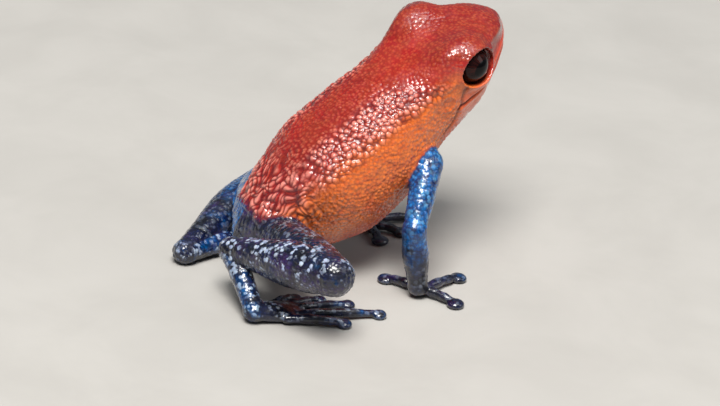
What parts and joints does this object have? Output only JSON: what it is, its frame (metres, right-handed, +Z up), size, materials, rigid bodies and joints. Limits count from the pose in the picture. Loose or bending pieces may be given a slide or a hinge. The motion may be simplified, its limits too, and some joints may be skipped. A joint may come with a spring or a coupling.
{
  "type": "strawberry poison dart frog model",
  "caption": "Life-size still model of a small poison frog sitting up on its fore legs, parted at the limbs and digits",
  "frame": {"origin": "on the floor, under the middle of the whole frog's box", "axes": "+X the way the trunk heads, +Y to the frog's left, +Z up from the floor that the hands and feet rest on"},
  "size_m": [0.0206, 0.0206, 0.0162],
  "materials": {
    "red_skin": "wet, finely granular",
    "orange_skin": "wet, finely granular",
    "blue_skin": "wet, blue mottled with black",
    "eye": "clear and glossy"
  },
  "bodies": {
    "root": {"head": "red_skin", "torso": "orange_skin", "eye_right": "eye", "eye_left": "eye", "thigh_right": "blue_skin", "shank_right": "blue_skin", "tarsus_right": "blue_skin", "sole_right": "blue_skin", "toe_1_right": "blue_skin", "toe_2_right": "blue_skin", "toe_3_right": "blue_skin", "toe_4_right": "blue_skin", "toe_5_right": "blue_skin", "upper_arm_right": "blue_skin", "forearm_right": "blue_skin", "palm_right": "blue_skin", "finger_1_right": "blue_skin", "finger_2_right": "blue_skin", "finger_3_right": "blue_skin", "finger_4_right": "blue_skin", "thigh_left": "blue_skin", "shank_left": "blue_skin", "tarsus_left": "blue_skin", "sole_left": "blue_skin", "toe_1_left": "blue_skin", "toe_2_left": "blue_skin", "toe_3_left": "blue_skin", "toe_4_left": "blue_skin", "toe_5_left": "blue_skin", "upper_arm_left": "blue_skin", "forearm_left": "blue_skin", "palm_left": "blue_skin", "finger_1_left": "blue_skin", "finger_2_left": "blue_skin", "finger_3_left": "blue_skin", "finger_4_left": "blue_skin"}
  },
  "joints": []
}
